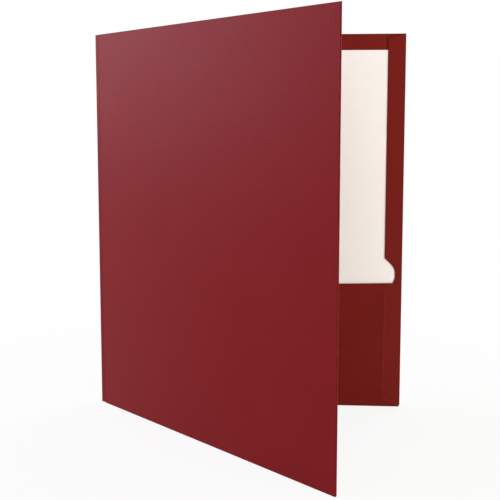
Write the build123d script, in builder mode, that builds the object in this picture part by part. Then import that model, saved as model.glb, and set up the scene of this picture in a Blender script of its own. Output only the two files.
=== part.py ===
from build123d import *

import os
from math import cos, radians, sin, tan

# A two pocket folder of laminated card that stands on its bottom edge, part of the way open.
# The back panel stands square to Y, with its inside towards -Y. The spine is at its -X side, and
# the cover swings towards -Y. A letter sheet stands in the right pocket. The card is one
# blank, split here at its creases. The origin is at the middle of the footprint, on the floor.

# Driving dimensions, in millimetres and degrees
panel_width = 237.5  # from a spine crease to the outside of the outer fold
panel_height = 292.1
board = 0.4  # thickness of the card
spine_width = 4.0  # between the two spine creases
crease_radius = 0.5  # bend at a spine crease, to the middle of the card
open_angle = 40.3  # between the back panel and the cover as the folder stands

pocket_room = 0.5  # free depth between a panel and the flap or tab folded over it
pocket_height = 99.6  # at the outer edge
pocket_drop = 5.0  # how much lower the pocket's top is at its spine end
pocket_spine_gap = 5.0  # from the spine crease to the foot of the pocket's spine end
pocket_end_slant = 3.0  # how far that end leans away from the spine at its top
pocket_edge_gap = 0.8  # from the pocket's outer edge to the outside of the outer fold
fold_corner_radius = 0.3  # outer corners of the fold under a pocket

flap_width = 13.5  # of the side flap and the glue tab, from the outside of the outer fold
flap_top_taper = 3.4  # how much lower the flap's inner corner is than its outer one
tab_foot_gap = 0.6  # from the bottom fold up to the glue tab's outer corner
tab_foot_taper = 6.5  # how much higher the tab's inner corner is than its outer one
notch_height = 106.0  # from the floor to the middle of the notch between flap and tab
notch_depth = 8.1
notch_floor = 10.2  # length of the notch's inner side
notch_side_angle = 45.0
notch_corner_radius = 9.0
neck_slit = 0.2  # between flap and tab, across the neck beside the notch

glue_thickness = 0.05
glue_inset = 2.0  # from the glue line's sides to the tab's edges

sheet_thickness = 0.1
sheet_edge_gap = 2.5  # from the sheet's outer side to the outside of the outer fold
sheet_spine_gap = 19.1  # from the spine crease to the sheet's other side
sheet_top_gap = 12.3  # from the sheet's top to the panel's top

quarter_turn = 90
half_turn = 180

# Depths, counted inwards from a panel's outer face
flap_depth = board + pocket_room
glue_depth = flap_depth + board
pocket_depth = glue_depth + glue_thickness
pocket_front = pocket_depth + board
sheet_depth = board + (pocket_room - sheet_thickness) / 2

# The outer fold is a half round that joins a panel to its flap or tab
fold_radius = board / 2 + pocket_room / 2  # to the middle of the card
fold_reach = fold_radius + board / 2
fold_line = panel_width - fold_reach  # where the round starts, counted from the spine crease
fold_depth = board + pocket_room / 2  # of the round's centre

# The notch and the neck between a flap and a tab
flap_edge = panel_width - flap_width
notch_edge = flap_edge + notch_depth
notch_half_floor = notch_floor / 2
notch_half_mouth = notch_half_floor + notch_depth / tan(radians(notch_side_angle))
notch_round_room = (notch_half_floor - neck_slit / 2) / tan(radians(notch_side_angle / 2))
notch_round = min(notch_corner_radius, 0.95 * notch_round_room)
flap_foot = notch_height + neck_slit / 2
tab_top = notch_height - neck_slit / 2
tab_foot = board + tab_foot_gap

# Directions as the folder stands: each spine crease takes half of the opening
half_open = radians(open_angle / 2)
full_open = radians(open_angle)
crease_bend = quarter_turn - open_angle / 2
crease_tangent = crease_radius * tan(radians(crease_bend / 2))
along_spine = Vector(-sin(half_open), -cos(half_open))
spine_inward = Vector(cos(half_open), -sin(half_open))
along_cover = Vector(cos(full_open), -sin(full_open))
cover_inward = Vector(sin(full_open), cos(full_open))

# The footprint, counted from the back crease, gives the place of the origin
front_round = along_spine * (spine_width - crease_tangent) + spine_inward * crease_radius
cover_round = (
    along_spine * spine_width
    + along_cover * fold_line
    + cover_inward * (fold_depth - board / 2)
)
footprint_left = front_round.X - crease_radius - board / 2
footprint_near = cover_round.Y - fold_reach
back_crease = Vector(-(footprint_left + panel_width) / 2, -(footprint_near + board / 2) / 2)
front_crease = back_crease + along_spine * spine_width

# Planes on the outer faces, with X along the panel, Y up and Z inwards. On the left half X runs
# from the outer edge towards the spine, so its outlines are drawn mirrored.
right_face = Plane(back_crease + Vector(0, board / 2), x_dir=(1, 0, 0), z_dir=(0, -1, 0))
left_face = Plane(
    front_crease - cover_inward * (board / 2), x_dir=-along_cover, z_dir=cover_inward
)
spine_floor = Plane(back_crease, x_dir=along_spine, z_dir=(0, 0, 1))

os.makedirs("parts", exist_ok=True)


def save(builder, name):
    """Labels a finished piece and writes it."""
    builder.part.label = name
    export_step(builder.part, f"parts/{name}.step")


def outline(side, points):
    """Adds a face with straight sides to the sketch, mirrored on the left half."""
    with BuildLine() as sides:
        Polyline(*[(side * across, up) for across, up in points], close=True)
    make_face(sides.edges())


def bent_card(center, radius, start, bend):
    """Adds the section of a stretch of card that bends round a centre."""
    with BuildLine() as sides:
        inner = CenterArc(center, radius - board / 2, start, bend)
        outer = CenterArc(center, radius + board / 2, start, bend)
        Line(inner @ 0, outer @ 0)
        Line(inner @ 1, outer @ 1)
    make_face(sides.edges())


# The spine strip and the crease at each of its sides
with BuildPart() as spine_strip:
    with BuildSketch(spine_floor):
        with Locations((spine_width / 2, 0)):
            Rectangle(spine_width - 2 * crease_tangent, board)
    extrude(amount=panel_height)
save(spine_strip, "spine_strip")

with BuildPart() as back_spine_crease:
    with BuildSketch(spine_floor):
        crease_center = (crease_tangent, crease_radius)
        bent_card(crease_center, crease_radius, -quarter_turn - crease_bend, crease_bend)
    extrude(amount=panel_height)
save(back_spine_crease, "back_spine_crease")

with BuildPart() as front_spine_crease:
    with BuildSketch(spine_floor):
        crease_center = (spine_width - crease_tangent, crease_radius)
        bent_card(crease_center, crease_radius, -quarter_turn, crease_bend)
    extrude(amount=panel_height)
save(front_spine_crease, "front_spine_crease")

# Each half is a panel with its pocket, flap and tab. The left half is the right half mirrored.
halves = (("back", "right", right_face, 1), ("front", "left", left_face, -1))
for panel_name, hand, face, side in halves:
    floor = Plane(face.origin, x_dir=face.x_dir, z_dir=(0, 0, 1))
    along = Axis(face.origin, face.x_dir)
    fold_center = (side * fold_line, -fold_depth)
    fold_start = -quarter_turn * side

    # The panel runs from the spine crease to the outer fold
    with BuildPart() as panel:
        with BuildSketch(face):
            outline(
                side,
                (
                    (crease_tangent, board),
                    (fold_line, board),
                    (fold_line, panel_height),
                    (crease_tangent, panel_height),
                ),
            )
        extrude(amount=board)
    save(panel, f"{panel_name}_panel")

    # The strip of card under the pocket, on which the folder stands
    with BuildPart() as bottom_fold:
        with BuildSketch(floor):
            outline(
                side,
                (
                    (pocket_spine_gap, 0),
                    (fold_line, 0),
                    (fold_line, -pocket_front),
                    (pocket_spine_gap, -pocket_front),
                ),
            )
        extrude(amount=board)
        standing_edges = bottom_fold.edges().filter_by(along).group_by(Axis.Z)[0]
        fillet(standing_edges, radius=min(fold_corner_radius, 0.9 * board))
    save(bottom_fold, f"{hand}_bottom_fold")

    # The front of the pocket, whose top falls a little towards the spine
    with BuildPart() as pocket_panel:
        with BuildSketch(face.offset(pocket_depth)):
            outline(
                side,
                (
                    (pocket_spine_gap, board),
                    (panel_width - pocket_edge_gap, board),
                    (panel_width - pocket_edge_gap, pocket_height),
                    (pocket_spine_gap + pocket_end_slant, pocket_height - pocket_drop),
                ),
            )
        extrude(amount=board)
    save(pocket_panel, f"{hand}_pocket_panel")

    # The side flap above the notch, folded in over the sheet and free to open
    with BuildPart() as side_flap:
        with BuildSketch(face.offset(flap_depth)) as flap_shape:
            outline(
                side,
                (
                    (fold_line, flap_foot),
                    (fold_line, panel_height),
                    (flap_edge, panel_height - flap_top_taper),
                    (flap_edge, notch_height + notch_half_mouth),
                    (notch_edge, notch_height + notch_half_floor),
                    (notch_edge, flap_foot),
                ),
            )
            notch_corner = (side * notch_edge, notch_height + notch_half_floor)
            fillet(flap_shape.vertices().sort_by_distance(notch_corner)[0], radius=notch_round)
        extrude(amount=board)
    save(side_flap, f"{hand}_side_flap")

    with BuildPart() as flap_crease:
        with BuildSketch(floor.offset(flap_foot)):
            bent_card(fold_center, fold_radius, fold_start, half_turn)
        extrude(amount=panel_height - flap_foot)
    save(flap_crease, f"{hand}_flap_crease")

    # The glue tab below the notch, folded in behind the pocket
    with BuildPart() as glue_tab:
        with BuildSketch(face.offset(flap_depth)) as tab_shape:
            outline(
                side,
                (
                    (fold_line, tab_foot),
                    (fold_line, tab_top),
                    (notch_edge, tab_top),
                    (notch_edge, notch_height - notch_half_floor),
                    (flap_edge, notch_height - notch_half_mouth),
                    (flap_edge, tab_foot + tab_foot_taper),
                ),
            )
            notch_corner = (side * notch_edge, notch_height - notch_half_floor)
            fillet(tab_shape.vertices().sort_by_distance(notch_corner)[0], radius=notch_round)
        extrude(amount=board)
    save(glue_tab, f"{hand}_glue_tab")

    with BuildPart() as tab_fold:
        with BuildSketch(floor.offset(tab_foot)):
            bent_card(fold_center, fold_radius, fold_start, half_turn)
        extrude(amount=tab_top - tab_foot)
    save(tab_fold, f"{hand}_tab_fold")

    # The glue that holds the pocket to its tab
    with BuildPart() as glue_line:
        with BuildSketch(face.offset(glue_depth)):
            outline(
                side,
                (
                    (flap_edge + glue_inset, tab_foot + tab_foot_taper + glue_inset),
                    (fold_line - glue_inset, tab_foot + tab_foot_taper + glue_inset),
                    (fold_line - glue_inset, notch_height - notch_half_mouth - glue_inset),
                    (flap_edge + glue_inset, notch_height - notch_half_mouth - glue_inset),
                ),
            )
        extrude(amount=glue_thickness)
    save(glue_line, f"{hand}_glue_line")

# The letter sheet, 215.9 by 279.4, stands on the fold under the right pocket and behind the flap
sheet_edge = panel_width - sheet_edge_gap
sheet_top = panel_height - sheet_top_gap
with BuildPart() as insert_sheet:
    with BuildSketch(right_face.offset(sheet_depth)):
        outline(
            1,
            (
                (sheet_spine_gap, board),
                (sheet_edge, board),
                (sheet_edge, sheet_top),
                (sheet_spine_gap, sheet_top),
            ),
        )
    extrude(amount=sheet_thickness)
save(insert_sheet, "insert_sheet")
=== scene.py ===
"""Dresses the two pocket folder: creased card in burgundy film, a letter sheet, light and camera."""

import logging
import math
from dataclasses import dataclass
from enum import Enum
from typing import Callable, ClassVar, Iterable

import bmesh
import bpy
from mathutils import Matrix, Vector
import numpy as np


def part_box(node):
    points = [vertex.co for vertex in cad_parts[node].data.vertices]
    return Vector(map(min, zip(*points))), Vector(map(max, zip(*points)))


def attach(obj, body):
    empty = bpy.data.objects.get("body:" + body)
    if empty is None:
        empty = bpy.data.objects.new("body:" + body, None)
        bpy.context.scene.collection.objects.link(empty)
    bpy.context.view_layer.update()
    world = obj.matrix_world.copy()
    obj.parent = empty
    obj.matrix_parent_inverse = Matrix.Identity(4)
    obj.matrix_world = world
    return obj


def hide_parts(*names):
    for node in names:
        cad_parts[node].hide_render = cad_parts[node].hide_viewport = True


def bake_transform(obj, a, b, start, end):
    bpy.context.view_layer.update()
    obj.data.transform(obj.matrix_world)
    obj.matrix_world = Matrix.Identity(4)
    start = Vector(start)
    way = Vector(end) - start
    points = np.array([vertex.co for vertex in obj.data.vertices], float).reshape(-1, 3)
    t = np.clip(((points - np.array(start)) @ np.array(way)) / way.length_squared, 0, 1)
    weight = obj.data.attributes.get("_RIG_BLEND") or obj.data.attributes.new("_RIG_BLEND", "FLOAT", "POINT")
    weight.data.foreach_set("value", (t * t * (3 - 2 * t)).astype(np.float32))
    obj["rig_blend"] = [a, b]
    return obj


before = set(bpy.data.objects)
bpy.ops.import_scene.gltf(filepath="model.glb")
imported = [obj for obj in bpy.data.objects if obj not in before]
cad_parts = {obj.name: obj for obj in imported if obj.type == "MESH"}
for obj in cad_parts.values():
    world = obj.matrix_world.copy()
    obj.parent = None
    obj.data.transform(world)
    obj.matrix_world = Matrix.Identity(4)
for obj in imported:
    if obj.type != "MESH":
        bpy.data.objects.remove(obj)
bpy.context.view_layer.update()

log = logging.getLogger("folder")

Colour = tuple[float, float, float]
Spot = tuple[float, float]
Place = tuple[float, float, float]
Materials = tuple[bpy.types.Material, ...]

MILLIMETRE = 0.001
RIGHT_ANGLE = 90.0
HALF_TURN = 180.0
UP = Vector((0.0, 0.0, 1.0))
ALONG = (1.0, 0.0)
UPWARD = (0.0, 1.0)
WHITE = (1.0, 1.0, 1.0, 1.0)


class Slot(Enum):
    """Material slots of the record."""

    CARD = "laminated_card"
    PAPER = "sheet_paper"
    GLUE = "glue"


class Side(Enum):
    """Which finish a face of card takes."""

    FILM = 0
    CUT = 1


class Mark(Enum):
    """Values that the points of a piece of card carry, by the name of their attribute."""

    # The first mark carries wear and painted shade on edges, the second a painted highlight on ridges, the
    # third painted warm light inside the folder.
    EDGE_WEAR_AND_SHADE = "rub"
    RIDGE_HIGHLIGHT = "scuff"
    WARM_LIGHT_TINT = "inner"


# Sizes and places


@dataclass(frozen=True)
class CardSizes:
    """Sizes of the die-cut card in millimetres and degrees, the same as in the part's source."""

    panel_width: float = 237.5
    panel_height: float = 292.1
    board: float = 0.4
    spine_width: float = 4.0
    crease_radius: float = 0.5
    open_angle: float = 40.3
    pocket_room: float = 0.5
    pocket_height: float = 99.6
    pocket_drop: float = 5.0
    pocket_spine_gap: float = 5.0
    pocket_end_slant: float = 3.0
    pocket_edge_gap: float = 0.8
    fold_corner_radius: float = 0.3
    flap_width: float = 13.5
    flap_top_taper: float = 3.4
    tab_foot_gap: float = 0.6
    tab_foot_taper: float = 6.5
    notch_height: float = 106.0
    notch_depth: float = 8.1
    notch_floor: float = 10.2
    notch_side_angle: float = 45.0
    notch_corner_radius: float = 9.0
    neck_slit: float = 0.2
    glue_thickness: float = 0.05

    @property
    def flap_depth(self) -> float:
        """Depth of a flap's or tab's back, counted inwards from the panel's outer face."""
        return self.board + self.pocket_room

    @property
    def pocket_depth(self) -> float:
        """Depth of a pocket's back."""
        return self.flap_depth + self.board + self.glue_thickness

    @property
    def pocket_front(self) -> float:
        """Depth of a pocket's front."""
        return self.pocket_depth + self.board

    @property
    def fold_radius(self) -> float:
        """Radius of the outer fold, to the middle of the card."""
        return (self.board + self.pocket_room) / 2

    @property
    def fold_line(self) -> float:
        """Where the outer fold's round starts, counted from the spine crease."""
        return self.panel_width - self.fold_radius - self.board / 2

    @property
    def fold_depth(self) -> float:
        """Depth of the outer fold's centre."""
        return self.board + self.pocket_room / 2

    @property
    def flap_edge(self) -> float:
        """Inner edge of the side flap and the glue tab."""
        return self.panel_width - self.flap_width

    @property
    def notch_edge(self) -> float:
        """Inner side of the notch between flap and tab."""
        return self.flap_edge + self.notch_depth

    @property
    def notch_half_mouth(self) -> float:
        """Half of the notch's height at the flap's inner edge."""
        return self.notch_floor / 2 + self.notch_depth / math.tan(math.radians(self.notch_side_angle))

    @property
    def notch_reach(self) -> float:
        """How far the notch's rounded corner reaches along its sides."""
        return self.notch_corner_radius * math.tan(math.radians(self.notch_side_angle / 2))

    @property
    def flap_foot(self) -> float:
        """Height of the flap's lower end."""
        return self.notch_height + self.neck_slit / 2

    @property
    def tab_foot(self) -> float:
        """Height of the tab's outer lower corner."""
        return self.board + self.tab_foot_gap

    @property
    def crease_bend(self) -> float:
        """Turn of the card at each spine crease, in degrees."""
        return RIGHT_ANGLE - self.open_angle / 2

    @property
    def crease_tangent(self) -> float:
        """Distance from a spine crease to where its round ends."""
        return self.crease_radius * math.tan(math.radians(self.crease_bend / 2))


@dataclass(frozen=True)
class Stand:
    """Where a stretch of card stands: a corner of its outer face and its two level directions."""

    corner: Vector
    along: Vector
    inward: Vector

    def matrix(self) -> Matrix:
        """Takes (along, depth, up) in millimetres to the shared frame in metres."""
        columns = (self.along, self.inward, UP)
        turned = Matrix([[column[row] for column in columns] for row in range(3)])
        placed = (turned * MILLIMETRE).to_4x4()
        placed.translation = self.corner
        return placed

    def point(self, along: float, depth: float, up: float = 0.0) -> Vector:
        """A point of the card in the shared frame, from millimetres."""
        return self.matrix() @ Vector((along, depth, up))


@dataclass(frozen=True)
class Layout:
    """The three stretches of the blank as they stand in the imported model."""

    right: Stand
    spine: Stand
    left: Stand

    @classmethod
    def from_frame(cls, sizes: CardSizes) -> "Layout":
        """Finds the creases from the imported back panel.

        Args:
            sizes: Sizes of the card.

        Returns:
            The stands of the back panel, the spine strip and the cover.
        """
        low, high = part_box("back_panel")
        half = math.radians(sizes.open_angle / 2)
        full = math.radians(sizes.open_angle)
        middle = sizes.board / 2 * MILLIMETRE
        along_spine = Vector((-math.sin(half), -math.cos(half), 0.0))
        spine_inward = Vector((math.cos(half), -math.sin(half), 0.0))
        along_cover = Vector((math.cos(full), -math.sin(full), 0.0))
        cover_inward = Vector((math.sin(full), math.cos(full), 0.0))
        back = Vector((low.x - sizes.crease_tangent * MILLIMETRE, high.y - middle, 0.0))
        front = back + along_spine * sizes.spine_width * MILLIMETRE
        return cls(
            right=Stand(back + Vector((0.0, middle, 0.0)), Vector((1, 0, 0)), Vector((0, -1, 0))),
            spine=Stand(back - spine_inward * middle, along_spine, spine_inward),
            left=Stand(front - cover_inward * middle, along_cover, cover_inward),
        )


def smooth_step(value: float) -> float:
    """Eases from 0 to 1 while the value goes from 0 to 1."""
    held = min(max(value, 0.0), 1.0)
    return held * held * (3.0 - 2.0 * held)


# Shader trees


class Wire:
    """A socket of a shader tree, whose sums and products add Math nodes."""

    def __init__(self, tree: "ShaderTree", socket: bpy.types.NodeSocket) -> None:
        """Keeps the tree and the socket."""
        self.tree = tree
        self.socket = socket

    def __add__(self, other: "Wire | float") -> "Wire":
        """This value plus another."""
        return self.tree.math("ADD", self, other)

    __radd__ = __add__

    def __sub__(self, other: "Wire | float") -> "Wire":
        """This value less another."""
        return self.tree.math("SUBTRACT", self, other)

    def __rsub__(self, other: float) -> "Wire":
        """Another value less this one."""
        return self.tree.math("SUBTRACT", other, self)

    def __mul__(self, other: "Wire | float") -> "Wire":
        """This value times another."""
        return self.tree.math("MULTIPLY", self, other)

    __rmul__ = __mul__


@dataclass(frozen=True)
class Noise:
    """Soft noise: spots to the metre, octaves, and factors on the level and the upright coordinates."""

    MIDDLE: ClassVar[float] = 0.5
    scale: float
    detail: float
    stretch: Spot = (1.0, 1.0)


@dataclass(frozen=True)
class Relief:
    """Fine relief of a surface: how strong it is, and its depth in metres."""

    strength: float
    distance: float


class ShaderTree:
    """The node tree of one material or of the world."""

    # Places of the Mix node's sockets for its factor, its two colours and the mixed colour
    MIX_SOCKETS = (0, 6, 7)
    MIX_RESULT = 2

    def __init__(self, owner: bpy.types.Material | bpy.types.World) -> None:
        """Starts an empty tree on its owner."""
        owner.use_nodes = True
        self.tree = owner.node_tree
        self.tree.nodes.clear()

    def node(
        self,
        kind: str,
        settings: dict | None = None,
        inputs: dict | None = None,
        output: int | str = 0,
    ) -> Wire:
        """Adds one node.

        Args:
            kind: Node type without its prefix.
            settings: Properties of the node, set before its sockets, and a ramp's stops.
            inputs: Values or wires by socket name or number.
            output: Name or number of the socket that is returned.

        Returns:
            The wanted output.
        """
        made = self.tree.nodes.new("ShaderNode" + kind)
        for name, value in (settings or {}).items():
            if name == "stops":
                self._set_stops(made.color_ramp, value)
            else:
                setattr(made, name, value)
        for key, value in (inputs or {}).items():
            if isinstance(value, Wire):
                self.tree.links.new(value.socket, made.inputs[key])
            else:
                made.inputs[key].default_value = value
        return Wire(self, made.outputs[output] if made.outputs else None)

    @staticmethod
    def _set_stops(ramp: bpy.types.ColorRamp, stops: Iterable[Spot]) -> None:
        """Gives a ramp its grey stops, two or more, as (place, level)."""
        for index, (place, level) in enumerate(stops):
            known = index < len(ramp.elements)
            stop = ramp.elements[index] if known else ramp.elements.new(place)
            stop.position = place
            stop.color = (level, level, level, 1.0)

    def math(self, operation: str, first: Wire | float, second: Wire | float) -> Wire:
        """Adds a Math node for two values."""
        return self.node("Math", {"operation": operation}, {0: first, 1: second})

    def mix(self, share: Wire | float, first: Wire | Colour, second: Wire | Colour) -> Wire:
        """Mixes two colours by a share.

        Args:
            share: 0 for the first colour, 1 for the second.
            first: A colour or a wire.
            second: A colour or a wire.

        Returns:
            The mixed colour.
        """
        ends = [end if isinstance(end, Wire) else (*end, 1.0) for end in (first, second)]
        settings = {"data_type": "RGBA", "clamp_factor": True}
        sockets = dict(zip(self.MIX_SOCKETS, (share, *ends)))
        return self.node("Mix", settings, sockets, output=self.MIX_RESULT)

    def noise(self, place: Wire, kind: Noise) -> Wire:
        """Adds a soft noise.

        Args:
            place: Coordinates in metres.
            kind: Scale, octaves and stretch of the noise.

        Returns:
            A value about one half.
        """
        level, upright = kind.stretch
        scaled = self.node("Mapping", None, {"Vector": place, "Scale": (level, level, upright)})
        sockets = {"Vector": scaled, "Scale": kind.scale, "Detail": kind.detail}
        return self.node("TexNoise", {"noise_dimensions": "3D"}, sockets)

    def mark(self, mark: Mark) -> Wire:
        """The value that the points of a piece carry."""
        return self.node("Attribute", {"attribute_name": mark.value}, output="Fac")

    def bump(self, relief: Relief, height: Wire) -> Wire:
        """The normal of a surface with a fine relief of the given height."""
        sockets = {"Strength": relief.strength, "Distance": relief.distance, "Height": height}
        return self.node("Bump", None, sockets)

    def seen(self) -> Wire:
        """1 for rays that show the backdrop: from the camera, off gloss and through glass."""
        camera = self.node("LightPath", output="Is Camera Ray")
        glossy = self.node("LightPath", output="Is Glossy Ray")
        through = self.node("LightPath", output="Is Transmission Ray")
        return self.math("MINIMUM", camera + glossy + through, 1.0)

    def surface(self, colour: Wire, rough: Wire, specular: float, normal: Wire | None = None) -> None:
        """Ends a material with its shader.

        Args:
            colour: Base colour.
            rough: Roughness.
            specular: Specular level, the same all over.
            normal: Normal of a fine relief, or None for a smooth surface.
        """
        sockets = {"Base Color": colour, "Roughness": rough, "Specular IOR Level": specular}
        if normal is not None:
            sockets["Normal"] = normal
        self.finish(self.node("BsdfPrincipled", None, sockets))

    def finish(self, shader: Wire, kind: str = "OutputMaterial") -> None:
        """Joins the last shader to the output."""
        self.node(kind, None, {"Surface": shader})


# Finishes


@dataclass(frozen=True)
class FilmFinish:
    """Burgundy card under a clear film with a fine peel and a long grain.

    Inside the folder it takes a browner copy, which is painted warm reflected light; along folds and edges
    it is darkened by painted shade, patchy like wear, and roughened by wear; on the glue tab's ridge it
    carries a painted highlight.
    """

    name: str = "burgundy_film"
    deep: Colour = (0.149, 0.0060, 0.0086)
    bright: Colour = (0.178, 0.0086, 0.0116)
    # Browner copy of the film inside the folder: painted warm reflected light.
    painted_warm_light_deep: Colour = (0.149, 0.0093, 0.0071)
    painted_warm_light_bright: Colour = (0.178, 0.0133, 0.0097)
    # Darker colour along edges and folds: painted shade, patchy like wear.
    painted_edge_shade: Colour = (0.105, 0.0040, 0.0052)
    # Lighter colour on the glue tab's ridge in the pocket: painted highlight.
    painted_ridge_highlight: Colour = (0.250, 0.0420, 0.0380)
    roughness: float = 0.42
    specular: float = 0.070
    cloud: Noise = Noise(scale=26.0, detail=3.0)
    mottle: Noise = Noise(scale=240.0, detail=4.0)
    peel: Noise = Noise(scale=560.0, detail=2.0)
    grain: Noise = Noise(scale=1500.0, detail=3.0, stretch=(1.0, 0.12))
    relief: Relief = Relief(strength=0.80, distance=0.00012)
    cloud_tone: float = 0.6
    mottle_tone: float = 0.35
    grain_tone: float = 0.25
    tone_start: float = -0.10
    wear_and_shade_stops: tuple[Spot, Spot] = ((0.38, 0.0), (0.68, 1.0))
    patchy_shade_tone: float = 0.45
    edge_shade_tone: float = 0.12
    ridge_highlight_start: float = 0.05
    ridge_highlight_mottle: float = 0.5
    cloud_rough: float = 0.08
    grain_rough: float = 0.10
    worn_rough: float = 0.10
    peel_height: float = 0.7
    grain_height: float = 0.3

    def build(self) -> bpy.types.Material:
        """Makes the material."""
        material = bpy.data.materials.new(self.name)
        tree = ShaderTree(material)
        place = tree.node("TexCoord", output="Object")
        cloud = tree.noise(place, self.cloud)
        mottle = tree.noise(place, self.mottle)
        peel = tree.noise(place, self.peel)
        grain = tree.noise(place, self.grain)
        # Edges and folds darken with painted shade, patchy by the mottle; the same mask roughens them as
        # wear.
        rub = tree.mark(Mark.EDGE_WEAR_AND_SHADE)
        wear_and_shade = rub * tree.node("ValToRGB", {"stops": self.wear_and_shade_stops}, {0: mottle})
        tone = cloud * self.cloud_tone + mottle * self.mottle_tone
        tone = tone + grain * self.grain_tone + self.tone_start
        outer = tree.mix(tone, self.deep, self.bright)
        # Browner copy for the inside of the folder: painted warm reflected light.
        inner = tree.mix(tone, self.painted_warm_light_deep, self.painted_warm_light_bright)
        body = tree.mix(tree.mark(Mark.WARM_LIGHT_TINT), outer, inner)
        edge_shaded = tree.mix(wear_and_shade * self.patchy_shade_tone + rub * self.edge_shade_tone, body, self.painted_edge_shade)
        # The glue tab's ridge lightens with a painted highlight, mottled.
        scuff = tree.mark(Mark.RIDGE_HIGHLIGHT) * (self.ridge_highlight_start + mottle * self.ridge_highlight_mottle)
        rough = self.roughness + (cloud - Noise.MIDDLE) * self.cloud_rough
        rough = rough + (grain - Noise.MIDDLE) * self.grain_rough + wear_and_shade * self.worn_rough
        height = peel * self.peel_height + grain * self.grain_height
        colour = tree.mix(scuff, edge_shaded, self.painted_ridge_highlight)
        tree.surface(colour, rough, self.specular, tree.bump(self.relief, height))
        return material


@dataclass(frozen=True)
class FibreFinish:
    """Bare fibres, matt, in two tones that a fine and a broad noise mix."""

    name: str
    dark: Colour
    pale: Colour
    roughness: float
    specular: float
    fibre: Noise
    cloud: Noise
    relief: Relief
    fibre_tone: float
    cloud_tone: float
    fibre_rough: float
    tone_start: float = -0.1

    def build(self) -> bpy.types.Material:
        """Makes the material."""
        material = bpy.data.materials.new(self.name)
        tree = ShaderTree(material)
        place = tree.node("TexCoord", output="Object")
        fibre = tree.noise(place, self.fibre)
        cloud = tree.noise(place, self.cloud)
        tone = fibre * self.fibre_tone + cloud * self.cloud_tone + self.tone_start
        rough = self.roughness + (fibre - Noise.MIDDLE) * self.fibre_rough
        colour = tree.mix(tone, self.dark, self.pale)
        tree.surface(colour, rough, self.specular, tree.bump(self.relief, fibre))
        return material


@dataclass(frozen=True)
class CutEdgeFinish(FibreFinish):
    """The dyed core of the card where the die cut it, matt and a little darker than the film."""

    name: str = "cut_card_core"
    dark: Colour = (0.085, 0.0065, 0.0068)
    pale: Colour = (0.130, 0.0130, 0.0125)
    roughness: float = 0.82
    specular: float = 0.10
    fibre: Noise = Noise(scale=2600.0, detail=4.0)
    cloud: Noise = Noise(scale=2600.0 / 12, detail=2.0)
    relief: Relief = Relief(strength=0.4, distance=0.00003)
    fibre_tone: float = 0.8
    cloud_tone: float = 0.4
    fibre_rough: float = 0.2


@dataclass(frozen=True)
class PaperFinish(FibreFinish):
    """Warm white writing paper with fine fibres and a faint cloudy formation."""

    name: str = "letter_paper"
    dark: Colour = (0.880, 0.864, 0.856)
    pale: Colour = (0.940, 0.930, 0.926)
    roughness: float = 0.86
    specular: float = 0.20
    fibre: Noise = Noise(scale=1400.0, detail=5.0, stretch=(1.0, 0.45))
    cloud: Noise = Noise(scale=160.0, detail=4.0)
    relief: Relief = Relief(strength=0.25, distance=0.00003)
    fibre_tone: float = 0.6
    cloud_tone: float = 0.6
    fibre_rough: float = 0.15


@dataclass(frozen=True)
class GlueFinish:
    """Dried white glue between a tab and its pocket."""

    name: str = "dried_glue"
    thin: Colour = (0.520, 0.430, 0.330)
    thick: Colour = (0.700, 0.640, 0.540)
    roughness: float = 0.40
    specular: float = 0.50
    bead: Noise = Noise(scale=420.0, detail=3.0)
    bead_rough: float = 0.3

    def build(self) -> bpy.types.Material:
        """Makes the material."""
        material = bpy.data.materials.new(self.name)
        tree = ShaderTree(material)
        bead = tree.noise(tree.node("TexCoord", output="Object"), self.bead)
        rough = self.roughness + (bead - Noise.MIDDLE) * self.bead_rough
        tree.surface(tree.mix(bead, self.thin, self.thick), rough, self.specular)
        return material


# Card


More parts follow.
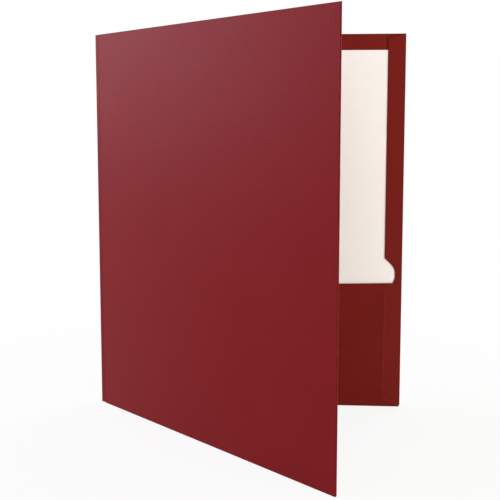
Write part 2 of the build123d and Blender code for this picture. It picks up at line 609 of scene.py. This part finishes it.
class CardMesh:
    """One piece of card, worked as (along, depth, up) in millimetres and then stood in its place."""

    SHARP = math.radians(60.0)
    SMOOTH = math.radians(38.0)
    NEAR = 0.02
    SAME_POINT = 0.001
    WARM_LIGHT_TINT_DEPTH = 0.25
    CUT_WALL = 0.5
    CUT_END = 0.9
    EDGE_SEGMENTS = 2
    CORNER_SEGMENTS = 10
    BEND_STEPS = 14

    def __init__(self) -> None:
        """Starts an empty mesh with layers for wear and painted shade on edges, a painted highlight on
        ridges, and painted warm light on the inside.
        """
        self.bm = bmesh.new()
        layers = self.bm.verts.layers.float
        self.rub, self.scuff, self.inner = [layers.new(mark.value) for mark in Mark]

    def flat(self, outline: Iterable[Spot], depth: float) -> None:
        """Adds one flat face.

        Args:
            outline: Its corners as (along, up).
            depth: Depth of the flat.
        """
        corners = [self.bm.verts.new((along, depth, up)) for along, up in outline]
        self.bm.faces.new(corners)
        self.bm.normal_update()

    def vertex_at(self, spot: Spot) -> bmesh.types.BMVert:
        """The vertex nearest to a spot of the flat."""
        place = Vector(spot)
        return min(self.bm.verts, key=lambda vertex: (vertex.co.xz - place).length)

    def round_corner(self, spot: Spot, reach: float) -> None:
        """Rounds one corner of the outline.

        Args:
            spot: The corner.
            reach: How far the round reaches along the sides.
        """
        bmesh.ops.bevel(
            self.bm,
            geom=[self.vertex_at(spot)],
            offset=reach,
            offset_type="OFFSET",
            segments=self.CORNER_SEGMENTS,
            profile=0.5,
            affect="VERTICES",
            material=-1,
        )

    def cut(self, spot: Spot, across: Spot) -> None:
        """Adds a line of edges across the flat.

        Args:
            spot: A place on the line.
            across: Direction square to the line.
        """
        bmesh.ops.bisect_plane(
            self.bm,
            geom=[*self.bm.verts, *self.bm.edges, *self.bm.faces],
            dist=self.SAME_POINT,
            plane_co=(spot[0], 0.0, spot[1]),
            plane_no=(across[0], 0.0, across[1]),
        )

    def cut_band(self, spot: Spot, across: Spot, half_width: float, strips: int) -> None:
        """Adds evenly spaced lines of edges on both sides of a line.

        Args:
            spot: A place on the line.
            across: Direction square to the line, one millimetre long.
            half_width: Half of the band's width.
            strips: Strips in the band.
        """
        for step in range(strips + 1):
            offset = half_width * (2 * step / strips - 1)
            self.cut((spot[0] + across[0] * offset, spot[1] + across[1] * offset), across)

    def border(self, width: float) -> None:
        """Adds a narrow band along the whole outline."""
        bmesh.ops.inset_region(
            self.bm,
            faces=list(self.bm.faces),
            thickness=width,
            use_boundary=True,
            use_even_offset=True,
        )

    def mark_edge_wear_and_shade(self) -> None:
        """Marks the outline for wear and painted edge shade, and the rest as clean."""
        for vertex in self.bm.verts:
            vertex[self.rub] = 1.0 if vertex.is_boundary else 0.0

    def mark_ridge_highlight(self, share: Callable[[Vector], float]) -> None:
        """Marks each point with the share of painted highlight that is given for it."""
        for vertex in self.bm.verts:
            vertex[self.scuff] = share(vertex.co)

    def mark_warm_light_tint(self, depth: float) -> None:
        """Marks the points from a depth inwards as inside the folder, where the film takes painted warm
        reflected light.
        """
        for vertex in self.bm.verts:
            vertex[self.inner] = 1.0 if vertex.co.y > depth else 0.0

    def press(self, shape: Callable[[Vector], float]) -> None:
        """Moves each point inwards by what the shape gives for it, in millimetres."""
        for vertex in self.bm.verts:
            vertex.co.y += shape(vertex.co)

    def thicken(self, amount: float) -> None:
        """Gives the flat its thickness inwards."""
        grown = bmesh.ops.extrude_face_region(self.bm, geom=list(self.bm.faces))
        moved = [item for item in grown["geom"] if isinstance(item, bmesh.types.BMVert)]
        bmesh.ops.translate(self.bm, vec=(0.0, amount, 0.0), verts=moved)
        bmesh.ops.recalc_face_normals(self.bm, faces=list(self.bm.faces))

    def block(self, low: Vector, high: Vector) -> None:
        """Adds a block between two corners, marked all over for wear and painted edge shade."""
        middle = (low + high) / 2
        size = high - low
        placed = Matrix.Translation(middle) @ Matrix.Diagonal((*size, 1.0))
        made = bmesh.ops.create_cube(self.bm, size=1.0, matrix=placed)
        for vertex in made["verts"]:
            vertex[self.rub] = 1.0

    def bend(self, centre: Spot, radius: float, board: float, turn: Spot, rise: Spot) -> None:
        """Adds a stretch of card that bends round an upright line.

        Args:
            centre: The line as (along, depth).
            radius: Radius to the middle of the card.
            board: Thickness of the card.
            turn: Start angle and sweep in degrees, from along towards depth.
            rise: Lowest and highest point.
        """
        start, sweep = (math.radians(angle) for angle in turn)
        outward = Vector((math.cos(start), math.sin(start), 0.0))
        middle = Vector((*centre, 0.0))
        corners = [
            middle + outward * (radius - board / 2) + UP * rise[0],
            middle + outward * (radius + board / 2) + UP * rise[0],
            middle + outward * (radius + board / 2) + UP * rise[1],
            middle + outward * (radius - board / 2) + UP * rise[1],
        ]
        ring = [self.bm.verts.new(corner) for corner in corners]
        sides = [self.bm.edges.new(pair) for pair in zip(ring, ring[1:] + ring[:1])]
        bmesh.ops.spin(
            self.bm,
            geom=[*ring, *sides],
            cent=middle,
            axis=UP,
            angle=sweep,
            steps=self.BEND_STEPS,
            use_merge=False,
            use_duplicate=False,
        )
        bmesh.ops.holes_fill(self.bm, edges=list(self.bm.edges), sides=4)
        bmesh.ops.recalc_face_normals(self.bm, faces=list(self.bm.faces))
        # The whole bend takes the wear and the painted edge shade.
        for vertex in self.bm.verts:
            vertex[self.rub] = 1.0

    def soften(
        self,
        radius: float,
        free: Callable[[Vector], bool],
        segments: int = EDGE_SEGMENTS,
    ) -> None:
        """Rounds the sharp edges whose two ends are free.

        Args:
            radius: Size of the round.
            free: Says whether a point lies on a free edge.
            segments: Strips in the round.
        """
        edges = [
            edge
            for edge in self.bm.edges
            if edge.is_manifold
            and edge.calc_face_angle() > self.SHARP
            and all(free(vertex.co) for vertex in edge.verts)
        ]
        bmesh.ops.bevel(
            self.bm,
            geom=edges,
            offset=radius,
            offset_type="OFFSET",
            segments=segments,
            profile=0.5,
            affect="EDGES",
            clamp_overlap=True,
            material=-1,
        )

    def show_core(self, is_cut: Callable[[Vector], bool]) -> None:
        """Gives the faces whose normal is a cut one the core's finish."""
        self.bm.normal_update()
        for face in self.bm.faces:
            side = Side.CUT if is_cut(face.normal) else Side.FILM
            face.material_index = side.value

    def stand_up(self, name: str, stand: Stand, materials: Materials) -> bpy.types.Object:
        """Stands the piece in its place and makes it an object.

        Args:
            name: Name of the piece.
            stand: Where its stretch of card stands.
            materials: Finishes by material number.

        Returns:
            The object, at the origin with its place in its mesh.
        """
        # Marks the inside of the folder for the film's painted warm reflected light.
        self.mark_warm_light_tint(self.WARM_LIGHT_TINT_DEPTH)
        bmesh.ops.transform(self.bm, matrix=stand.matrix(), verts=list(self.bm.verts))
        bmesh.ops.recalc_face_normals(self.bm, faces=list(self.bm.faces))
        mesh = bpy.data.meshes.new(name)
        self.bm.to_mesh(mesh)
        self.bm.free()
        for material in materials:
            mesh.materials.append(material)
        mesh.shade_smooth()
        mesh.set_sharp_from_angle(angle=self.SMOOTH)
        piece = bpy.data.objects.new(name, mesh)
        bpy.context.scene.collection.objects.link(piece)
        return piece


def cut_sideways(normal: Vector) -> bool:
    """True for the walls of a flat piece, which the die cut."""
    return abs(normal.y) < CardMesh.CUT_WALL


def cut_upright(normal: Vector) -> bool:
    """True for the two ends of an upright bend, which the die cut."""
    return abs(normal.z) > CardMesh.CUT_END


@dataclass
class Spine:
    """The narrow strip between the panels, and the crease at each of its sides."""

    sizes: CardSizes
    layout: Layout
    materials: Materials
    edge_round: float = 0.09
    bend_round: float = 0.02

    def build(self) -> list[bpy.types.Object]:
        """Makes the strip and its two creases."""
        return [self._strip(), self._back_bend(), self._front_bend()]

    def _at_end(self, spot: Vector) -> bool:
        """True at the top and the foot of the spine."""
        return min(abs(spot.z), abs(spot.z - self.sizes.panel_height)) < CardMesh.NEAR

    def _strip(self) -> bpy.types.Object:
        """The flat strip, which rides on its own body."""
        sizes = self.sizes
        card = CardMesh()
        low = Vector((sizes.crease_tangent, 0.0, 0.0))
        high = Vector((sizes.spine_width - sizes.crease_tangent, sizes.board, sizes.panel_height))
        card.block(low, high)
        card.soften(self.edge_round, self._at_end)
        card.show_core(cut_upright)
        piece = card.stand_up("spine_strip_card", self.layout.spine, self.materials)
        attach(piece, "spine")
        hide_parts("spine_strip")
        return piece

    def _bend(self, name: str, along: float, start: float) -> bpy.types.Object:
        """One spine crease, as it stands."""
        sizes = self.sizes
        card = CardMesh()
        centre = (along, sizes.board / 2 + sizes.crease_radius)
        turn = (start, sizes.crease_bend)
        card.bend(centre, sizes.crease_radius, sizes.board, turn, (0.0, sizes.panel_height))
        card.soften(self.bend_round, self._at_end)
        card.show_core(cut_upright)
        return card.stand_up(name, self.layout.spine, self.materials)

    def _back_bend(self) -> bpy.types.Object:
        """The crease between the back panel and the strip."""
        sizes = self.sizes
        piece = self._bend("back_spine_bend", sizes.crease_tangent, -RIGHT_ANGLE - sizes.crease_bend)
        start = self.layout.right.point(sizes.crease_tangent, sizes.board / 2)
        end = self.layout.spine.point(sizes.crease_tangent, sizes.board / 2)
        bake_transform(piece, "back", "spine", start=start, end=end)
        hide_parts("back_spine_crease")
        return piece

    def _front_bend(self) -> bpy.types.Object:
        """The crease between the strip and the cover."""
        sizes = self.sizes
        far = sizes.spine_width - sizes.crease_tangent
        piece = self._bend("front_spine_bend", far, -RIGHT_ANGLE)
        start = self.layout.spine.point(far, sizes.board / 2)
        end = self.layout.left.point(sizes.crease_tangent, sizes.board / 2)
        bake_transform(piece, "spine", "front", start=start, end=end)
        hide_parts("front_spine_crease")
        return piece


@dataclass
class FolderHalf:
    """A panel with its pocket, side flap and glue tab."""

    sizes: CardSizes
    stand: Stand
    materials: Materials
    hand: str
    panel: str
    body: str
    edge_round: float = 0.09
    border_width: float = 1.0
    fold_segments: int = 5
    score_at: float = 4.4
    score_half_width: float = 0.8
    score_depth: float = 0.10
    score_strips: int = 6
    neck_line: float = 0.03
    print_ridge: float = 0.09
    print_step: float = 0.08
    print_half_width: float = 0.7
    print_strips: int = 8
    print_fade: float = 1.6

    def build(self) -> list[bpy.types.Object]:
        """Makes the pieces of this half."""
        return [
            self._panel(),
            self._bottom_fold(),
            self._pocket(),
            self._flap(),
            self._flap_bend(),
            self._tab(),
            self._tab_bend(),
        ]

    def _settle(self, piece: bpy.types.Object, node: str, body: str) -> bpy.types.Object:
        """Lets a piece stand for its CAD node on a body."""
        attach(piece, body)
        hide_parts(node)
        return piece

    def _score(self, spot: Vector) -> float:
        """Depth of the pressed line beside the spine crease."""
        share = min(abs(spot.x - self.score_at) / self.score_half_width, 1.0)
        return self.score_depth * (1.0 - share * share) ** 2

    def _panel(self) -> bpy.types.Object:
        """The panel, with a pressed line beside the spine that lets it swing."""
        sizes = self.sizes
        outline = (
            (sizes.crease_tangent, sizes.board),
            (sizes.fold_line, sizes.board),
            (sizes.fold_line, sizes.panel_height),
            (sizes.crease_tangent, sizes.panel_height),
        )
        card = CardMesh()
        card.flat(outline, 0.0)
        card.border(self.border_width)
        card.mark_edge_wear_and_shade()
        card.cut_band((self.score_at, 0.0), ALONG, self.score_half_width, self.score_strips)
        card.press(self._score)
        card.thicken(sizes.board)
        card.soften(self.edge_round, lambda spot: spot.z > sizes.panel_height - CardMesh.NEAR)
        card.show_core(cut_sideways)
        piece = card.stand_up(f"{self.panel}_card", self.stand, self.materials)
        return self._settle(piece, self.panel, self.body)

    def _bottom_fold(self) -> bpy.types.Object:
        """The strip under the pocket, on which the folder stands."""
        sizes = self.sizes
        card = CardMesh()
        low = Vector((sizes.pocket_spine_gap, 0.0, 0.0))
        high = Vector((sizes.fold_line, sizes.pocket_front, sizes.board))
        card.block(low, high)
        card.soften(sizes.fold_corner_radius, lambda spot: spot.z < CardMesh.NEAR, self.fold_segments)
        card.show_core(lambda normal: abs(normal.x) > CardMesh.CUT_END)
        piece = card.stand_up(f"{self.hand}_bottom_bend", self.stand, self.materials)
        return self._settle(piece, f"{self.hand}_bottom_fold", self.body)

    def _tab_sides(self) -> tuple[tuple[Spot, Spot], ...]:
        """The glue tab's three free sides, each as a place on it and the direction into the tab."""
        sizes = self.sizes
        low = (sizes.flap_edge, sizes.tab_foot + sizes.tab_foot_taper)
        high = (sizes.flap_edge, sizes.notch_height - sizes.notch_half_mouth)
        foot = Vector((sizes.tab_foot_taper, sizes.fold_line - sizes.flap_edge)).normalized()
        head = Vector((1.0, -math.tan(math.radians(sizes.notch_side_angle)))).normalized()
        return ((low, ALONG), (low, tuple(foot)), (high, tuple(head)))

    def _over_tab(self, spot: Vector) -> float:
        """How far inside the glue tab's outline a place on the pocket lies."""
        return min(
            (spot.x - place[0]) * inward[0] + (spot.z - place[1]) * inward[1]
            for place, inward in self._tab_sides()
        )

    def _on_ridge(self, spot: Vector) -> float:
        """1 on the ridge that the tab's edge makes in the pocket, and 0 beside it."""
        away = abs(self._over_tab(spot)) / self.print_half_width
        return 1.0 - smooth_step(away)

    def _print(self, spot: Vector) -> float:
        """How far the pocket stands out on the ridge, and lies back beside the tab."""
        beside = 1.0 - smooth_step(self._over_tab(spot) / self.print_half_width + 1.0)
        lifted = smooth_step((spot.z - self.sizes.board) / self.print_fade)
        return lifted * (self.print_ridge * self._on_ridge(spot) - self.print_step * beside)

    def _pocket(self) -> bpy.types.Object:
        """The front of the pocket, with the outline of the glue tab showing through it."""
        sizes = self.sizes
        outer = sizes.panel_width - sizes.pocket_edge_gap
        outline = (
            (sizes.pocket_spine_gap, sizes.board),
            (outer, sizes.board),
            (outer, sizes.pocket_height),
            (sizes.pocket_spine_gap + sizes.pocket_end_slant, sizes.pocket_height - sizes.pocket_drop),
        )
        card = CardMesh()
        card.flat(outline, sizes.pocket_depth)
        card.border(self.border_width)
        card.mark_edge_wear_and_shade()
        card.thicken(sizes.board)
        card.soften(self.edge_round, lambda spot: spot.z > sizes.board + CardMesh.NEAR)
        card.show_core(cut_sideways)
        for place, inward in self._tab_sides():
            card.cut_band(place, inward, self.print_half_width, self.print_strips)
        card.cut((0.0, sizes.board + self.print_fade), UPWARD)
        # Besides the raised ridge, the film there takes a painted highlight.
        card.mark_ridge_highlight(self._on_ridge)
        card.press(self._print)
        piece = card.stand_up(f"{self.hand}_pocket_front", self.stand, self.materials)
        return self._settle(piece, f"{self.hand}_pocket_panel", self.body)

    def _free_of_fold(self, spot: Vector) -> bool:
        """True away from the outer fold and from the slit at the neck."""
        sizes = self.sizes
        clear_of_slit = abs(spot.z - sizes.notch_height) > sizes.neck_slit
        return spot.x < sizes.fold_line - CardMesh.NEAR and clear_of_slit

    def _folded_in(self, name: str, outline: tuple[Spot, ...], corner: Spot) -> bpy.types.Object:
        """A flap or tab that lies over the panel, with one rounded corner.

        Args:
            name: Name of the piece.
            outline: Its corners as (along, up).
            corner: The corner that is rounded.

        Returns:
            The object.
        """
        sizes = self.sizes
        card = CardMesh()
        card.flat(outline, sizes.flap_depth)
        card.round_corner(corner, sizes.notch_reach)
        card.border(self.border_width)
        card.mark_edge_wear_and_shade()
        card.thicken(sizes.board)
        card.soften(self.edge_round, self._free_of_fold)
        card.show_core(cut_sideways)
        return card.stand_up(name, self.stand, self.materials)

    def _flap(self) -> bpy.types.Object:
        """The side flap above the notch, folded in over the sheet."""
        sizes = self.sizes
        corner = (sizes.notch_edge, sizes.notch_height + sizes.notch_floor / 2)
        outline = (
            (sizes.fold_line, sizes.flap_foot),
            (sizes.fold_line, sizes.panel_height),
            (sizes.flap_edge, sizes.panel_height - sizes.flap_top_taper),
            (sizes.flap_edge, sizes.notch_height + sizes.notch_half_mouth),
            corner,
            (sizes.notch_edge, sizes.flap_foot),
        )
        piece = self._folded_in(f"{self.hand}_flap_card", outline, corner)
        return self._settle(piece, f"{self.hand}_side_flap", f"{self.hand}_flap")

    def _tab(self) -> bpy.types.Object:
        """The glue tab below the notch, folded in behind the pocket."""
        sizes = self.sizes
        corner = (sizes.notch_edge, sizes.notch_height - sizes.notch_floor / 2)
        top = sizes.flap_foot - self.neck_line
        outline = (
            (sizes.fold_line, sizes.tab_foot),
            (sizes.fold_line, top),
            (sizes.notch_edge, top),
            corner,
            (sizes.flap_edge, sizes.notch_height - sizes.notch_half_mouth),
            (sizes.flap_edge, sizes.tab_foot + sizes.tab_foot_taper),
        )
        piece = self._folded_in(f"{self.hand}_tab_card", outline, corner)
        return self._settle(piece, f"{self.hand}_glue_tab", self.body)

    def _outer_bend(self, name: str, rise: Spot) -> bpy.types.Object:
        """A stretch of the half round at the outer edge."""
        sizes = self.sizes
        card = CardMesh()
        centre = (sizes.fold_line, sizes.fold_depth)
        card.bend(centre, sizes.fold_radius, sizes.board, (-RIGHT_ANGLE, HALF_TURN), rise)
        ends = [end for end in rise if abs(end - sizes.notch_height) > sizes.neck_slit]
        card.soften(
            self.edge_round,
            lambda spot: min(abs(spot.z - end) for end in ends) < CardMesh.NEAR,
        )
        card.show_core(cut_upright)
        return card.stand_up(name, self.stand, self.materials)

    def _flap_bend(self) -> bpy.types.Object:
        """The crease of the side flap, which turns with it."""
        sizes = self.sizes
        piece = self._outer_bend(f"{self.hand}_flap_bend", (sizes.flap_foot, sizes.panel_height))
        start = self.stand.point(sizes.fold_line, sizes.board)
        end = self.stand.point(sizes.fold_line, sizes.flap_depth)
        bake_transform(piece, self.body, f"{self.hand}_flap", start=start, end=end)
        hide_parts(f"{self.hand}_flap_crease")
        return piece

    def _tab_bend(self) -> bpy.types.Object:
        """The fold of the glue tab, which stays put."""
        sizes = self.sizes
        rise = (sizes.tab_foot, sizes.flap_foot - self.neck_line)
        piece = self._outer_bend(f"{self.hand}_tab_bend", rise)
        return self._settle(piece, f"{self.hand}_tab_fold", self.body)


@dataclass
class LetterSheet:
    """The loose sheet in the right pocket, which bellies a little above it."""

    stand: Stand
    material: bpy.types.Material
    width: float = 215.9
    height: float = 279.4
    thickness: float = 0.1
    foot: float = 0.4
    spine_gap: float = 19.1
    depth: float = 0.6
    belly: float = 0.7
    belly_start: float = 60.0
    belly_length: float = 160.0
    edge_round: float = 0.03
    columns: int = 36
    rows: int = 46

    def _belly(self, spot: Vector) -> float:
        """How far the sheet stands off the panel."""
        across = math.sin(math.pi * min(max((spot.x - self.spine_gap) / self.width, 0.0), 1.0))
        return self.belly * across * smooth_step((spot.z - self.belly_start) / self.belly_length)

    def build(self) -> list[bpy.types.Object]:
        """Makes the sheet."""
        middle = Vector((self.spine_gap + self.width / 2, self.depth, self.foot + self.height / 2))
        upright = Matrix.Rotation(math.pi / 2, 4, "X")
        size = Matrix.Diagonal((self.width / 2, self.height / 2, 1.0, 1.0))
        card = CardMesh()
        bmesh.ops.create_grid(
            card.bm,
            x_segments=self.columns,
            y_segments=self.rows,
            size=1.0,
            matrix=Matrix.Translation(middle) @ upright @ size,
        )
        card.press(self._belly)
        card.thicken(self.thickness)
        card.soften(self.edge_round, lambda spot: True)
        piece = card.stand_up("letter_sheet", self.stand, (self.material,))
        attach(piece, "sheet")
        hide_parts("insert_sheet")
        return [piece]


# Studio


@dataclass(frozen=True)
class SoftLamp:
    """One soft lamp of the studio, a rectangle that faces a point and may be kept out of the gloss."""

    name: str
    place: Place
    aim: Place
    width: float
    height: float
    power: float
    colour: Colour
    in_gloss: bool = True

    def build(self) -> None:
        """Hangs the lamp."""
        light = bpy.data.lights.new(self.name, "AREA")
        light.shape = "RECTANGLE"
        light.size = self.width
        light.size_y = self.height
        light.energy = self.power
        light.color = self.colour
        lamp = bpy.data.objects.new(self.name, light)
        lamp.location = self.place
        toward = Vector(self.aim) - Vector(self.place)
        lamp.rotation_euler = toward.to_track_quat("-Z", "Y").to_euler()
        lamp.visible_glossy = self.in_gloss
        bpy.context.scene.collection.objects.link(lamp)


@dataclass
class Studio:
    """The white floor and backdrop, the lamps and the camera."""

    lamps: tuple[SoftLamp, ...] = (
        SoftLamp(
            name="left_box",
            place=(-1.90, 0.05, 0.80),
            aim=(-0.05, 0.0, 0.15),
            width=1.2,
            height=1.2,
            power=34.5,
            colour=(1.0, 0.83, 0.975),
        ),
        SoftLamp(
            name="right_strip",
            place=(0.78, -0.48, 0.12),
            aim=(0.06, 0.05, 0.13),
            width=0.5,
            height=0.22,
            power=5.6,
            colour=(1.0, 0.99, 0.915),
            in_gloss=False,
        ),
        SoftLamp(
            name="back_box",
            place=(0.85, 1.20, 0.95),
            aim=(0.0, 0.08, 0.18),
            width=0.7,
            height=0.7,
            power=8.5,
            colour=(1.0, 0.98, 0.95),
        ),
    )
    ambient: Colour = (0.57, 0.54, 0.49)
    floor_radius: float = 3.0
    floor_sides: int = 64
    floor_colour: Colour = (0.90, 0.90, 0.90)
    near_glow: float = 0.885
    glow_start: float = 0.20
    glow_length: float = 0.45
    camera_place: Place = (0.03786, -0.52747, 0.22168)
    camera_yaw: float = -3.543
    camera_pitch: float = 5.5
    camera_lens: float = 55.867
    camera_sensor: float = 36.0
    camera_shift: float = -0.0976

    def build(self) -> None:
        """Sets up the studio."""
        self._world()
        self._floor()
        for lamp in self.lamps:
            lamp.build()
        self._camera()
        bpy.context.scene.view_settings.view_transform = "Standard"

    def _world(self) -> None:
        """Soft light from all round, which shows as white."""
        world = bpy.data.worlds.new("studio")
        bpy.context.scene.world = world
        tree = ShaderTree(world)
        soft = tree.node("Background", None, {"Color": (*self.ambient, 1.0)})
        white = tree.node("Background", None, {"Color": WHITE})
        both = tree.node("MixShader", None, {0: tree.seen(), 1: soft, 2: white})
        tree.finish(both, "OutputWorld")

    def _floor(self) -> None:
        """A white floor that keeps a soft shadow."""
        bm = bmesh.new()
        bmesh.ops.create_circle(bm, cap_ends=True, segments=self.floor_sides, radius=self.floor_radius)
        mesh = bpy.data.meshes.new("floor")
        bm.to_mesh(mesh)
        bm.free()
        floor = bpy.data.objects.new("floor", mesh)
        bpy.context.scene.collection.objects.link(floor)
        material = bpy.data.materials.new("pale_floor")
        tree = ShaderTree(material)
        matt = tree.node("BsdfDiffuse", None, {"Color": (*self.floor_colour, 1.0)})
        glow = tree.node("Emission", None, {"Color": WHITE})
        place = tree.node("TexCoord", output="Object")
        away = tree.node("VectorMath", {"operation": "LENGTH"}, {0: place}, output="Value")
        reach = {
            "Value": away,
            "From Min": self.glow_start,
            "From Max": self.glow_start + self.glow_length,
            "To Min": self.near_glow,
        }
        far = tree.node("MapRange", {"interpolation_type": "SMOOTHSTEP"}, reach)
        both = tree.node("MixShader", None, {0: tree.seen() * far, 1: matt, 2: glow})
        tree.finish(both)
        mesh.materials.append(material)

    def _camera(self) -> None:
        """The camera, near the point of view of the photograph."""
        data = bpy.data.cameras.new("camera")
        data.sensor_width = self.camera_sensor
        data.lens = self.camera_lens
        data.shift_y = self.camera_shift
        camera = bpy.data.objects.new("camera", data)
        camera.location = self.camera_place
        level = math.radians(RIGHT_ANGLE - self.camera_pitch)
        camera.rotation_euler = (level, 0.0, math.radians(-self.camera_yaw))
        bpy.context.scene.collection.objects.link(camera)
        bpy.context.scene.camera = camera


def dress_glue(material: bpy.types.Material) -> list[bpy.types.Object]:
    """Gives the two glue lines their finish and returns them."""
    lines = [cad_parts[f"{hand}_glue_line"] for hand in ("right", "left")]
    for line in lines:
        for slot in line.material_slots:
            slot.material = material
    return lines


def main() -> None:
    """Builds the folder, its sheet and the studio, and reports each piece."""
    logging.basicConfig(level=logging.INFO, format="%(message)s")
    sizes = CardSizes()
    layout = Layout.from_frame(sizes)
    card = (FilmFinish().build(), CutEdgeFinish().build())
    pieces = Spine(sizes, layout, card).build()
    pieces += FolderHalf(sizes, layout.right, card, "right", "back_panel", "back").build()
    pieces += FolderHalf(sizes, layout.left, card, "left", "front_panel", "front").build()
    pieces += LetterSheet(layout.right, PaperFinish().build()).build()
    pieces += dress_glue(GlueFinish().build())
    Studio().build()
    for piece in pieces:
        log.info("%s has %d faces", piece.name, len(piece.data.polygons))


if __name__ == "__main__":
    main()
